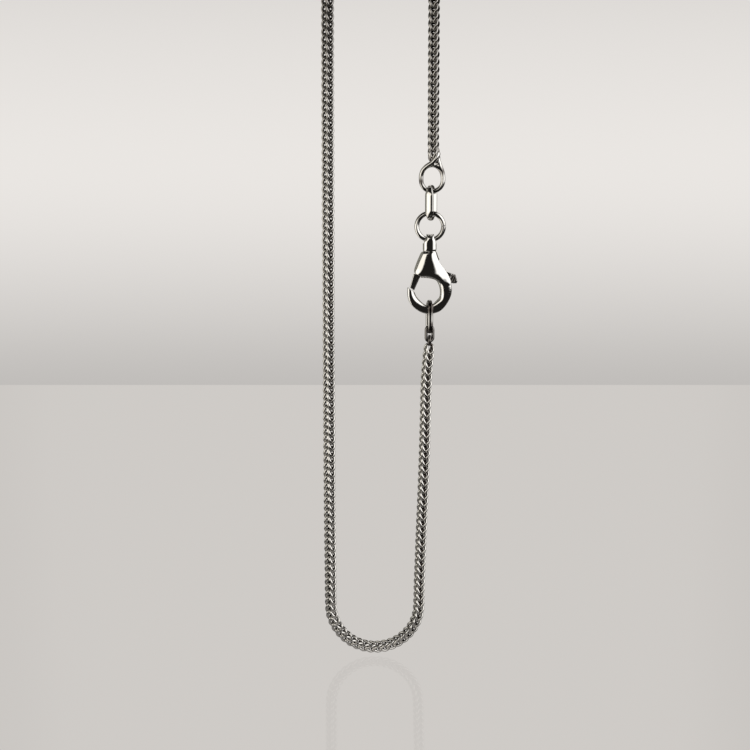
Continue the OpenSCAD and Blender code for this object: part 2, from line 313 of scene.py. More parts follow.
def soft_min(a, b, k):
    """The two solids joined, running into each other over the width k."""
    h = np.clip(0.5 + 0.5 * (b - a) / k, 0, 1)
    return b * (1 - h) + a * h - k * h * (1 - h)


def soft_max(a, b, k):
    """What the two solids share, with its edge rounded over the width k."""
    return -soft_min(-a, -b, k)


def polygon_field(x, z, corners):
    """Distance to a polygon in the XZ plane, below 0 inside."""
    nearest, inside = np.inf, False
    for (x0, z0), (x1, z1) in zip(corners, [*corners[1:], corners[0]]):
        dx, dz = x1 - x0, z1 - z0
        t = np.clip(((x - x0) * dx + (z - z0) * dz) / (dx * dx + dz * dz), 0, 1)
        nearest = np.minimum(nearest, (x - x0 - t * dx) ** 2 + (z - z0 - t * dz) ** 2)
        if dz:
            inside = inside ^ (((z0 <= z) != (z1 <= z)) & (x < x0 + dx * (z - z0) / dz))
    return np.sqrt(nearest) * np.where(inside, -1, 1)


def section_field(across, depth, half_width, half_depth, power):
    """A section from an ellipse, power 1, to nearly a box as the power falls."""
    n = 2 / power
    r = (np.abs(across / half_width) ** n + np.abs(depth / half_depth) ** n) ** (1 / n)
    return (r - 1) * np.minimum(half_width, half_depth)


def rows_at(heights, rows, steps=40):
    """The columns of a table of rows, smoothly between them; the first column is the height."""
    fine = catmull(rows, False, steps)
    return [np.interp(heights, fine[:, 0], fine[:, k]) for k in range(1, fine.shape[1])]


def along_route(x, z, rows, steps=12):
    """Offset to the left of a smooth route in the XZ plane and the other columns at its nearest place."""
    fine = catmull(rows, False, steps)
    best = np.full(np.broadcast(x, z).shape, np.inf)
    offset = np.zeros(best.shape)
    found = [np.zeros(best.shape) for _ in range(2, fine.shape[1])]
    for a, b in zip(fine, fine[1:]):
        dx, dz = b[0] - a[0], b[1] - a[1]
        t = np.clip(((x - a[0]) * dx + (z - a[1]) * dz) / (dx * dx + dz * dz), 0, 1)
        d = np.hypot(x - a[0] - t * dx, z - a[1] - t * dz)
        nearer = d < best
        best = np.where(nearer, d, best)
        offset = np.where(nearer, d * np.sign(dx * (z - a[1]) - dz * (x - a[0])), offset)
        found = [np.where(nearer, a[k + 2] + t * (b[k + 2] - a[k + 2]), f) for k, f in enumerate(found)]
    return [offset, *found]


def path_distance(x, y, z, path):
    """Distance to a path of straight steps in space."""
    nearest = np.full(np.broadcast(x, y, z).shape, np.inf)
    for a, b in zip(path, path[1:]):
        d = b - a
        t = np.clip(((x - a[0]) * d[0] + (y - a[1]) * d[1] + (z - a[2]) * d[2]) / np.dot(d, d), 0, 1)
        nearest = np.minimum(nearest, (x - a[0] - t * d[0]) ** 2 + (y - a[1] - t * d[1]) ** 2
                             + (z - a[2] - t * d[2]) ** 2)
    return np.sqrt(nearest)


def gradient(field, p, h=0.004):
    """The field's slope at the points, from its values a little to each side."""
    out = np.empty_like(p)
    for k in range(3):
        step = np.zeros(3)
        step[k] = h
        out[:, k] = (field(*(p + step).T) - field(*(p - step).T)) / (2 * h)
    return out


# How often a mesh's points are moved on to the surface, and the least slope of a field, squared, for that
SETTLING_ROUNDS, LEAST_SLOPE = 3, 0.05


def surface_of(name, field, low, high, step):
    """A smooth closed mesh of the surface where the field is 0, by surface nets."""
    axes = [np.arange(a, b + step, step) for a, b in zip(low, high)]
    values = np.broadcast_to(field(axes[0][:, None, None], axes[1][None, :, None], axes[2][None, None, :]),
                             [len(a) for a in axes])
    shape = [n - 1 for n in values.shape]
    total, count = np.zeros((*shape, 3)), np.zeros(shape)

    def corner(i, j, k):
        return values[i:i + shape[0], j:j + shape[1], k:k + shape[2]]

    for axis in range(3):
        for u in (0, 1):
            for v in (0, 1):
                start = [u, v]
                start.insert(axis, 0)
                end = list(start)
                end[axis] = 1
                a, b = corner(*start), corner(*end)
                crossed = (a < 0) != (b < 0)
                t = np.where(crossed, a / np.where(crossed, a - b, 1), 0)
                count += crossed
                for m in range(3):
                    total[..., m] += np.where(crossed, t if m == axis else start[m], 0)
    used = count > 0
    index = np.full(shape, -1)
    index[used] = np.arange(used.sum())
    cells = np.argwhere(used)
    points = np.array(low) + (cells + total[used] / count[used][:, None]) * step
    quads = []
    for axis in range(3):
        u, v = [m for m in range(3) if m != axis]
        inside = values < 0
        a, b = [np.take(inside, np.arange(q, q + shape[axis]), axis=axis) for q in (0, 1)]
        edges = np.argwhere(a != b)
        edges = edges[(edges[:, u] > 0) & (edges[:, v] > 0)
                      & (edges[:, u] < shape[u]) & (edges[:, v] < shape[v])]
        ring = []
        for du, dv in ((0, 0), (-1, 0), (-1, -1), (0, -1)):
            cell = edges.copy()
            cell[:, u] += du
            cell[:, v] += dv
            ring.append(index[tuple(cell.T)])
        quad = np.stack(ring, axis=1)
        outward = a[tuple(edges.T)] ^ (axis == 1)
        quads.append(np.where(outward[:, None], quad, quad[:, ::-1]))
    quads = np.vstack(quads)
    for _ in range(SETTLING_ROUNDS):
        g = gradient(field, points)
        move = -(field(*points.T) / np.maximum((g * g).sum(1), LEAST_SLOPE))[:, None] * g
        points += np.clip(move, -step / 2, step / 2)
    piece = make_mesh(name, points, quads)
    piece.data.normals_split_custom_set_from_vertices(unit(gradient(field, points)))
    return piece


# The clasp, all its points from the middle of the hook's opening, as in the CAD source
CLASP_AT = (7.7, -156.5)
# Its pear-shaped body: height, left, right, half depth
PEAR_ROWS = [
    (1.4, -2.4, 3.22, 1.2), (2.0, -2.56, 3.10, 1.25), (2.6, -2.62, 2.84, 1.34), (3.1, -2.60, 2.62, 1.38),
    (3.6, -2.54, 2.34, 1.38), (4.3, -2.32, 1.90, 1.34), (5.0, -2.06, 1.48, 1.27), (5.6, -1.80, 1.20, 1.20),
    (6.1, -1.58, 1.05, 1.13), (6.45, -1.46, 0.98, 1.08), (6.8, -1.36, 0.92, 1.04),
]
PEAR_TOP, PEAR_FOOT, PEAR_POWER = 6.5, 1.6, 0.8
# The hook: across, height, half width, half depth, and the section's power at its inner and outer side,
# where 1 is an ellipse and less fills the corners
BOW_ROWS = [
    (-3.12, 0.95, 0.46, 0.60, 0.95, 0.62), (-3.10, 0.42, 0.52, 0.62, 0.95, 0.62),
    (-3.05, -0.08, 0.58, 0.66, 0.95, 0.62), (-2.94, -0.63, 0.65, 0.68, 0.95, 0.62),
    (-2.67, -1.25, 0.72, 0.70, 0.95, 0.62), (-2.08, -1.95, 0.73, 0.70, 0.85, 0.62),
    (-1.18, -2.60, 0.70, 0.70, 0.72, 0.62), (-0.15, -2.88, 0.64, 0.71, 0.55, 0.60),
    (0.86, -2.52, 0.80, 0.74, 0.55, 0.60), (1.52, -1.97, 0.84, 0.80, 0.75, 0.60),
    (2.12, -1.20, 0.80, 0.87, 0.95, 0.58), (2.40, -0.34, 0.90, 0.95, 0.95, 0.50),
    (2.44, 0.40, 0.95, 1.03, 0.95, 0.42), (2.30, 1.15, 0.96, 1.07, 0.95, 0.38),
    (2.02, 1.90, 0.96, 0.98, 0.95, 0.48), (1.55, 2.75, 0.88, 0.80, 0.95, 0.62),
    (0.95, 3.60, 0.60, 0.45, 0.95, 0.62),
]
# The neck and the eye over it: height, left, right, half depth
EYE_ROWS = [
    (5.8, -1.40, 1.00, 0.95), (6.42, -1.18, 0.86, 0.88), (6.7, -1.22, 0.92, 0.96), (7.2, -1.22, 0.92, 0.96),
    (7.7, -1.22, 0.92, 0.96), (8.05, -1.15, 0.87, 0.96), (8.35, -0.86, 0.64, 0.96), (8.7, -0.70, 0.54, 0.96),
    (9.3, -0.66, 0.50, 0.96),
]
# Its section's power left and right of its middle
EYE_POWERS = (0.9, 0.6)
# The arched top of the eye, the hole that the jump ring goes through, and the foot of the neck
EYE_ARCH_Z, EYE_R, EYE_HOLE_R, EYE_HOLE_FOOT, NECK_FOOT = 8.2, 0.96, 0.5, 7.7, 5.9
# The opening cut into the body: its middle and its two radii
OPENING_AT, OPENING_R = (-0.75, 0.1), (2.22, 1.93)
# The corner cut from the pear on its left, where the gate comes out of it
GATE_EXIT = [(-3.6, 3.54), (-1.55, 2.47), (-1.55, 0), (-3.6, 0)]
# The lever: its pivot and the boss round it, its thickness, the gap round it, and the end of its gate
PIVOT, BOSS_R = (-0.45, 4.35), 0.85
LEVER_T, LEVER_GAP = 1.05, 0.15
GATE_TIP = [(-3.24, 0.76), (-2.56, 0.24)]
# The slanted cut at the hook's tip: its distance from the gate, and how far to the right it reaches.
# Past that its field is lowered so that it cuts nothing
TIP_GAP, TIP_REACH, TIP_LOWERED = 0.17, -1.5, 9
# The outline of the slot that the lever moves in, and the lever's own outline
LEVER_ROOM = [(-1.1, 5.15), (-2.36, 3.5), (-2.36, 3.02), (-2.9, 2.9), (-2.9, 1.6), (-0.3, 1.6), (0.1, 3.6),
              (1.85, 2.74), (2.9, 1.5), (3.2, 1.22), (4.8, 1), (4.8, 4.6), (1.9, 5), (-0.4, 5.3)]
LEVER_OUTLINE = [(-0.95, 5), (-2.2, 3.45), (-2.2, 2.93), (-2.66, 2.88), *GATE_TIP, (-1.66, 2.27),
                 (-0.35, 3.6), (0.2, 3.78), (1.95, 2.92), (3.05, 1.62), (3.46, 1.38), (4.05, 1.36),
                 (4.28, 1.71), (3.96, 2.74), (2.54, 3.21), (1.9, 3.75), (0, 5)]
# Fine ribs across the thumb tab: where and over what width they start, then the tab's heading and their
# pitch and depth
TAB_FROM, TAB_START, TAB_HEADING, TAB_RIB_PITCH, TAB_RIB_DEPTH = 3.15, 0.2, (0.9, -0.44), 0.36, 0.03
# Widths in mm over which the clasp's forms run into each other
PEAR_EDGE, OPENING_EDGE, GATE_EXIT_EDGE, TIP_EDGE, ARCH_EDGE, EYE_HOLE_EDGE = 0.5, 1.3, 0.18, 0.08, 0.15, 0.1
BOW_TO_PEAR, EYE_TO_PEAR, SLOT_EDGE, LEVER_EDGE = 0.6, 0.08, 0.08, 0.16


def tip_cut_field(x, z):
    """How far a point is past the slanted cut that keeps the hook's tip clear of the gate."""
    (x0, z0), (x1, z1) = GATE_TIP
    length = math.hypot(x1 - x0, z1 - z0)
    return ((x - x0) * (z1 - z0) - (z - z0) * (x1 - x0)) / length - TIP_GAP


def clasp_body_field(x, y, z):
    """The pear-shaped body with its hook, its neck and eye, and the slot for the lever."""
    left, right, deep = rows_at(z, PEAR_ROWS)
    pear = section_field(x - (left + right) / 2, y, (right - left) / 2, deep, PEAR_POWER)
    pear = soft_max(pear, z - PEAR_TOP, PEAR_EDGE)
    pear = soft_max(pear, PEAR_FOOT - z, PEAR_EDGE)
    opening = section_field(x - OPENING_AT[0], z - OPENING_AT[1], *OPENING_R, 1.0)
    pear = soft_max(pear, -opening, OPENING_EDGE)
    pear = soft_max(pear, -polygon_field(x, z, GATE_EXIT), GATE_EXIT_EDGE)
    off, wide, deep, inner, outer = along_route(x, z, BOW_ROWS)
    bow = section_field(off, y, wide, deep, np.where(off > 0, inner, outer))
    bow = soft_max(bow, -tip_cut_field(x, z) - TIP_LOWERED * (x > TIP_REACH), TIP_EDGE)
    body = soft_min(pear, bow, BOW_TO_PEAR)
    left, right, deep = rows_at(z, EYE_ROWS)
    middle = (left + right) / 2
    eye = section_field(x - middle, y, (right - left) / 2, deep, np.where(x < middle, *EYE_POWERS))
    arch = np.hypot(y, np.maximum(z - EYE_ARCH_Z, 0)) - EYE_R
    hole = np.maximum(np.hypot(y, np.maximum(z - EYE_ARCH_Z, 0)) - EYE_HOLE_R, EYE_HOLE_FOOT - z)
    eye = soft_max(soft_max(eye, arch, ARCH_EDGE), -hole, EYE_HOLE_EDGE)
    eye = np.maximum(eye, NECK_FOOT - z)
    body = soft_min(body, eye, EYE_TO_PEAR)
    room = np.minimum(polygon_field(x, z, LEVER_ROOM),
                      np.hypot(x - PIVOT[0], z - PIVOT[1]) - BOSS_R - LEVER_GAP)
    slot = np.maximum(room, np.abs(y) - LEVER_T / 2 - LEVER_GAP)
    return soft_max(body, -slot, SLOT_EDGE)


def lever_field(x, y, z):
    """The flat lever with its gate, its boss and its ribbed thumb tab."""
    flat = np.minimum(polygon_field(x, z, LEVER_OUTLINE), np.hypot(x - PIVOT[0], z - PIVOT[1]) - BOSS_R)
    along_tab = (x * TAB_HEADING[0] + z * TAB_HEADING[1]) / TAB_RIB_PITCH
    rib = TAB_RIB_DEPTH * (0.5 + 0.5 * np.cos(2 * np.pi * along_tab)) * ease(x - TAB_FROM, TAB_START)
    return soft_max(flat + rib, np.abs(y) - LEVER_T / 2 + rib, LEVER_EDGE)


def placed(field, at):
    """The field moved to a place in the frame."""
    return lambda x, y, z: field(x - at[0], y, z - at[1])


def box_round(node, margin=0.15):
    """The box round a CAD node in mm, with a margin."""
    low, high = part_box(node)
    return [v / MM - margin for v in low], [v / MM + margin for v in high]


# Step of the meshes made from fields
FIELD_STEP = 0.06
clasp_body = surface_of("clasp_shell", placed(clasp_body_field, CLASP_AT),
                        *box_round("clasp_body"), FIELD_STEP)
clasp_lever = surface_of("clasp_gate_lever", placed(lever_field, CLASP_AT),
                         *box_round("clasp_lever"), FIELD_STEP)

# Rings and links. The end ring is a lower half circle with two limbs over it: across, depth, height from
# the ring's middle
END_RING_AT, END_RING_R, END_RING_WIRE = (7.87, -139.03), 1.70, 0.70
RIGHT_LIMB = [(1.70, 0, 0.3), (1.66, 0.03, 0.8), (1.57, 0.08, 1.3), (1.38, 0.16, 1.8), (1.16, 0.26, 2.35),
              (1.0, 0.38, 2.95), (0.9, 0.42, 3.5), (0.84, 0.22, 3.92), (0.80, 0, 4.05)]
LEFT_LIMB = [(-1.71, 0, 0.3), (-1.68, -0.02, 0.8), (-1.50, -0.08, 1.4), (-1.17, -0.16, 1.86),
             (-0.64, -0.26, 2.31), (0.0, -0.36, 2.75), (0.45, -0.42, 3.25), (0.72, -0.36, 3.75),
             (0.80, -0.12, 4.03)]
# The arc that closes the ring behind the crossing: its half width, depth and height, and its centre's height
RING_ARC, RING_ARC_Z = (1.70, 0.22, 2.02), 0.30
# How far the limbs and the arc run into each other: low down, and more of it from and over these heights
LIMB_BLEND, WEB_BLEND, WEB_FROM, WEB_OVER = 0.03, 0.45, 2.0, 1.6
# The low and the high corner of the box that holds the whole ring
END_RING_BOX = (5.4, -1.0, -141.5), (10.4, 1.0, -134.3)
# The other links: middle, height and width, turn and roll in degrees, and for the limbs and the ends of the
# two that are bands their width and thickness
CONNECTOR_AT, CONNECTOR_SIZE, CONNECTOR_TURN, CONNECTOR_ROLL = (7.70, -142.52), (5.68, 3.0), 76, 20
CONNECTOR_BAND, CONNECTOR_THICK = (1.50, 0.92), (0.74, 0.72)
END_LINK_AT, END_LINK_SIZE, END_LINK_TURN, END_LINK_ROLL = (7.60, -160.45), (5.36, 2.68), 98, 8
END_LINK_BAND, END_LINK_THICK, END_LINK_POWER = (0.80, 0.66), (0.57, 0.60), 0.75
FIRST_LINK_AT, FIRST_LINK_SIZE, FIRST_LINK_WIRE, FIRST_LINK_TURN = (7.64, -163.19), (2.87, 1.62), 0.50, 16
LAST_LINK_AT, LAST_LINK_SIZE, LAST_LINK_WIRE, LAST_LINK_TURN = (8.12, -135.05), (2.8, 1.9), 0.64, 22
# Where a link's limbs go over into its ends: how far past its straight part, and over what height
LIMB_TO_END, LIMB_TO_END_OVER = 0.4, 1.1
# Rings of round wire: middle, outer diameter and wire of the jump ring, the angle in degrees and the width of
# its split, and middle, radius and wire of the eye at the chain's lower end
JUMP_RING_AT, JUMP_RING_D, JUMP_RING_WIRE = (7.62, -146.2), 4.93, 0.75
JUMP_SPLIT_AT, JUMP_SPLIT = 2, 0.08
LOWER_EYE_AT, LOWER_EYE_R, LOWER_EYE_WIRE = (7.64, -164.25), 0.64, 0.52


def moved(points, at):
    """The points moved to a place in the XZ plane."""
    return points + np.array([at[0], 0, at[1]])


def link_path(height, width):
    """The centre line of a link with straight sides, standing in the XZ plane."""
    r, straight = width / 2, (height - width) / 2
    top = [(r * math.cos(a), 0, straight + r * math.sin(a)) for a in np.radians(np.arange(0, 181, 15))]
    sides = [(r, 0, z) for z in np.linspace(-straight, straight, 6)[1:-1]]
    return np.array([*top, *[(-x, y, -z) for x, y, z in sides], *[(-x, y, -z) for x, y, z in top], *sides])


def turned_z(points, degrees):
    """The points turned about the Z axis."""
    a = math.radians(degrees)
    x, y, z = points.T
    return np.stack([x * math.cos(a) - y * math.sin(a), x * math.sin(a) + y * math.cos(a), z], axis=1)


def band_link(name, at, size, bands, thicks, turn, roll=0.0, power=1.0, sides=24, steps=128):
    """A link whose band has one width and thickness at its limbs and others at its ends."""
    path = link_path(size[0] - thicks[0], size[1] - thicks[0])
    path = at_even_steps(catmull(path, True, 8), True, steps)
    straight = (size[0] - size[1]) / 2
    past_straight = np.abs(path[:, 2]) - straight
    to_end = ease(past_straight - LIMB_TO_END, LIMB_TO_END_OVER)
    band = bands[0] + (bands[1] - bands[0]) * to_end
    thick = thicks[0] + (thicks[1] - thicks[0]) * to_end
    up = np.sign(path[:, 2]) * np.maximum(past_straight, 0)
    outward = unit(np.stack([path[:, 0], 0 * to_end, up], axis=1))
    across = np.array([[0.0, 1.0, 0.0]])
    tilt = math.radians(roll) * (1 - to_end)[:, None]
    tilted_out = outward * np.cos(tilt) + across * np.sin(tilt)
    tilted_across = across * np.cos(tilt) - outward * np.sin(tilt)
    c, s = round_section(sides, power)
    rings = (path[:, None] + c[None, :, None] * (thick / 2)[:, None, None] * tilted_out[:, None]
             + s[None, :, None] * (band / 2)[:, None, None] * tilted_across[:, None])
    points = moved(turned_z(rings.reshape(-1, 3), turn), at)
    return make_mesh(name, points, grid_faces(steps, sides, True)[:, ::-1])


def end_ring_field(x, y, z):
    """Two limbs of wire that meet in a small web under the crossing."""
    low_right = [(END_RING_R * math.cos(a), 0, END_RING_R * math.sin(a))
                 for a in np.radians(np.arange(270, 361, 15))]
    low_left = [(-x0, y0, z0) for x0, y0, z0 in low_right]
    right = path_distance(x, y, z, catmull([*low_right, *RIGHT_LIMB], False, 3))
    left = path_distance(x, y, z, catmull([*low_left, *LEFT_LIMB], False, 3))
    wide, deep, high = RING_ARC
    arc_path = np.array([(wide * math.cos(a), deep * math.sin(a), RING_ARC_Z + high * math.sin(a))
                         for a in np.radians(np.arange(0, 121, 8))])
    arc = path_distance(x, y, z, arc_path)
    blend = LIMB_BLEND + WEB_BLEND * ease(z - WEB_FROM, WEB_OVER)
    return soft_min(left, soft_min(right, arc, blend), blend) - END_RING_WIRE / 2


end_ring = surface_of("end_ring_wire", placed(end_ring_field, END_RING_AT), *END_RING_BOX, FIELD_STEP)
connector = band_link("connector_band", CONNECTOR_AT, CONNECTOR_SIZE, CONNECTOR_BAND, CONNECTOR_THICK,
                      CONNECTOR_TURN, roll=CONNECTOR_ROLL)
end_link = band_link("hook_oval_link", END_LINK_AT, END_LINK_SIZE, END_LINK_BAND, END_LINK_THICK,
                     END_LINK_TURN, roll=END_LINK_ROLL, power=END_LINK_POWER)
first_link = band_link("small_oval_link", FIRST_LINK_AT, FIRST_LINK_SIZE, 2 * [FIRST_LINK_WIRE],
                       2 * [FIRST_LINK_WIRE], FIRST_LINK_TURN)
last_link = band_link("chain_end_upper", LAST_LINK_AT, LAST_LINK_SIZE, 2 * [LAST_LINK_WIRE],
                      2 * [LAST_LINK_WIRE], LAST_LINK_TURN)


def wire_eye(name, at, radius, wire, steps=64, sides=20):
    """A ring of round wire that stands in the YZ plane."""
    a = np.linspace(0, 2 * np.pi, 24, endpoint=False)
    rough = moved(np.stack([0 * a, radius * np.cos(a), radius * np.sin(a)], axis=1), at)
    path = at_even_steps(catmull(rough, True, 8), True, steps)
    points, faces, _ = tube(path, wire / 2, True, sides)
    return make_mesh(name, points, faces)


def split_ring(name, at, diameter, wire, split_at, gap, steps=144, sides=24):
    """A ring of round wire with a fine straight split at an angle in degrees."""
    radius = (diameter - wire) / 2
    half = gap / 2 / radius
    a = math.radians(split_at) + np.linspace(half, 2 * np.pi - half, steps)
    path = moved(np.stack([radius * np.cos(a), 0 * a, radius * np.sin(a)], axis=1), at)
    points, faces, caps = tube(path, wire / 2, False, sides)
    return make_mesh(name, points, faces, caps)


jump_ring = split_ring("jump_ring_wire", JUMP_RING_AT, JUMP_RING_D, JUMP_RING_WIRE, JUMP_SPLIT_AT, JUMP_SPLIT)
lower_eye = wire_eye("chain_end_lower", LOWER_EYE_AT, LOWER_EYE_R, LOWER_EYE_WIRE)

# Stage: floor, backdrop and surround for the camera, and a dome of soft lights that only the metal reflects
FLOOR_Z = LOWEST_Z - 0.44
FLOOR_FRONT, FLOOR_BACK, FLOOR_SIDE = -900, 228, 900
BACKDROP_Y, BACKDROP_SIDE, BACKDROP_FOOT, BACKDROP_TOP = 700, 850, -700, 400
BACKDROP_TINT = (1.02, 0.985, 0.95)


def stage_mesh(name, points, faces, camera, glossy):
    """A piece of the stage that the camera sees or the metal reflects."""
    piece = make_mesh(name, np.array(points, float), np.array(faces))
    piece.visible_camera = camera
    piece.visible_glossy = glossy
    piece.visible_diffuse = glossy
    return piece


floor = stage_mesh("floor", [(x, y, FLOOR_Z) for x, y in (
    (-FLOOR_SIDE, FLOOR_FRONT), (FLOOR_SIDE, FLOOR_FRONT),
    (FLOOR_SIDE, FLOOR_BACK), (-FLOOR_SIDE, FLOOR_BACK))], [[0, 1, 2, 3]], True, False)
backdrop = stage_mesh("backdrop", [(x, BACKDROP_Y, z) for x, z in (
    (-BACKDROP_SIDE, BACKDROP_FOOT), (BACKDROP_SIDE, BACKDROP_FOOT),
    (BACKDROP_SIDE, BACKDROP_TOP), (-BACKDROP_SIDE, BACKDROP_TOP))], [[0, 1, 2, 3]], True, False)


# The room round the necklace, a row for each soft panel: azimuth from and to, elevation from and to,
# softness in azimuth and elevation, lean (degrees of azimuth for a degree up), red, green, blue.
# Azimuth 0 is towards the camera, positive to the right
ROOM = (0.014, 0.013, 0.012)
PANELS = [
    (-180, -72, -50, 45, 30, 20, 0, 0.22, 0.215, 0.185),
    (72, 180, -40, 45, 30, 20, 0, 0.05, 0.045, 0.04),
    (-90, 90, -125, -60, 40, 14, 0, 0.36, 0.36, 0.315),
    (-250, -110, -120, -50, 40, 20, 0, 0.17, 0.165, 0.145),
    (110, 250, -120, -50, 40, 20, 0, 0.17, 0.165, 0.145),
    (-196, -164, -40, 60, 6, 20, 0, 0.76, 0.74, 0.71),
    (164, 196, -40, 60, 6, 20, 0, 0.76, 0.74, 0.71),
    (-86, -24, -50, 26, 10, 14, 1.0, 1.15, 1.10, 1.00),
    (17, 106, -10, 54, 10, 12, 0.4, 1.30, 1.28, 1.24),
]


def room_light(azimuth, elevation):
    """The light that comes from these directions."""
    tone = np.broadcast_to(np.array(ROOM), (*azimuth.shape, 3))
    for a0, a1, e0, e1, soft_a, soft_e, lean, *colour in PANELS:
        upright = azimuth - lean * elevation
        weight = (ease(upright - a0, soft_a) * ease(a1 - upright, soft_a)
                  * ease(elevation - e0, soft_e) * ease(e1 - elevation, soft_e))
        tone = np.maximum(tone, np.array(colour) * weight[..., None])
    return tone


def paint(piece, tones):
    """The light that each point of a stage piece gives off."""
    layer = piece.data.color_attributes.new("light", "FLOAT_COLOR", "POINT")
    layer.data.foreach_set("color", np.column_stack([tones, np.ones(len(tones))]).astype(np.float32).ravel())


SPHERE_CENTRE_Z = -155
DOME_RADIUS, DOME_ROWS, DOME_COLUMNS = 2000, 90, 180
SURROUND_RADIUS, SURROUND_ROWS, SURROUND_COLUMNS = 1500, 36, 72
# Painted light on the glowing surround: its grey at elevations in degrees
SURROUND_PAINTED_LIGHT = [(-90, 0.60), (0, 0.60), (12, 0.68), (30, 0.76), (60, 0.74), (90, 0.70)]
# The near floor, painted light that fades out from its middle: its half width and half depth, how far it lies
# under the floor, its tone, tint and mesh
NEAR_FLOOR, NEAR_FLOOR_UNDER, NEAR_FLOOR_TONE, NEAR_FLOOR_TINT = (60, 40), 0.05, 0.3, (1.0, 0.96, 0.92)
NEAR_FLOOR_ROWS, NEAR_FLOOR_COLUMNS = 16, 48


def sphere(name, radius, rows, columns, camera, glossy):
    """A sphere round the necklace, and the azimuths and elevations of its points in degrees."""
    elevation = np.radians(np.linspace(-90, 90, rows + 1))[:, None]
    azimuth = np.radians(np.linspace(-180, 180, columns, endpoint=False))[None, :]
    points = np.stack([np.cos(elevation) * np.sin(azimuth), -np.cos(elevation) * np.cos(azimuth),
                       np.sin(elevation) + 0 * azimuth], axis=-1).reshape(-1, 3) * radius
    points[:, 2] += SPHERE_CENTRE_Z
    piece = stage_mesh(name, points, grid_faces(rows + 1, columns, False), camera, glossy)
    return piece, *np.broadcast_arrays(np.degrees(azimuth), np.degrees(elevation))


def light_dome():
    """The panels of light, which only the metal reflects."""
    dome, azimuth, elevation = sphere("light_dome", DOME_RADIUS, DOME_ROWS, DOME_COLUMNS, False, True)
    paint(dome, room_light(azimuth, elevation).reshape(-1, 3))
    return dome


def near_floor():
    """Painted light for the paper right under the necklace, as its lowest links reflect it, fading out from
    its middle.
    """
    rows, columns = NEAR_FLOOR_ROWS, NEAR_FLOOR_COLUMNS
    r = (np.arange(rows + 1) / rows)[:, None]
    a = np.linspace(0, 2 * np.pi, columns, endpoint=False)[None, :]
    points = np.stack([BOTTOM_BEND[0] + NEAR_FLOOR[0] * r * np.cos(a), NEAR_FLOOR[1] * r * np.sin(a),
                       FLOOR_Z - NEAR_FLOOR_UNDER + 0 * r * a], axis=-1).reshape(-1, 3)
    piece = stage_mesh("near_floor", points, grid_faces(rows + 1, columns, False), False, True)
    tone = NEAR_FLOOR_TONE * (1 - np.broadcast_to(r, (rows + 1, columns))).reshape(-1, 1) ** 2
    paint(piece, tone * np.array(NEAR_FLOOR_TINT))
    return piece


def surround():
    """A pale glowing room with painted light, lighter above the horizon, that only the camera sees, for the
    views that the floor and the backdrop leave open.
    """
    room, _, elevation = sphere("surround", SURROUND_RADIUS, SURROUND_ROWS, SURROUND_COLUMNS, True, False)
    tone = np.interp(elevation, *zip(*SURROUND_PAINTED_LIGHT)).reshape(-1, 1)
    paint(room, tone * np.array(BACKDROP_TINT))
    return room


light_pieces = [light_dome(), near_floor(), surround()]

# Materials


def new_material(name):
    """An empty material with its nodes and links."""
    material = bpy.data.materials.new(name)
    material.use_nodes = True
    material.node_tree.nodes.clear()
    return material, material.node_tree.nodes, material.node_tree.links


def node_of(nodes, kind, **values):
    """A new node with values set on its inputs."""
    node = nodes.new(kind)
    for key, value in values.items():
        node.inputs[key.replace("_", " ")].default_value = value
    return node


# Dark colour of tarnish, which also paints shade and dark reflections on the metal
TARNISH_AND_SHADE = (0.07, 0.055, 0.048)
# Hair scratches: how far they are drawn out, their directions in radians, how fine and how deep in m they are
SCRATCH_STRETCH, SCRATCH_TURN = (1.0, 1.0, 0.12), (0.3, 0.5, 0.2)
SCRATCH_SCALE, SCRATCH_DEPTH = 9000.0, 0.00002
# The darker clouds in the metal: their share of its colour
CLOUD_TONE = 0.92


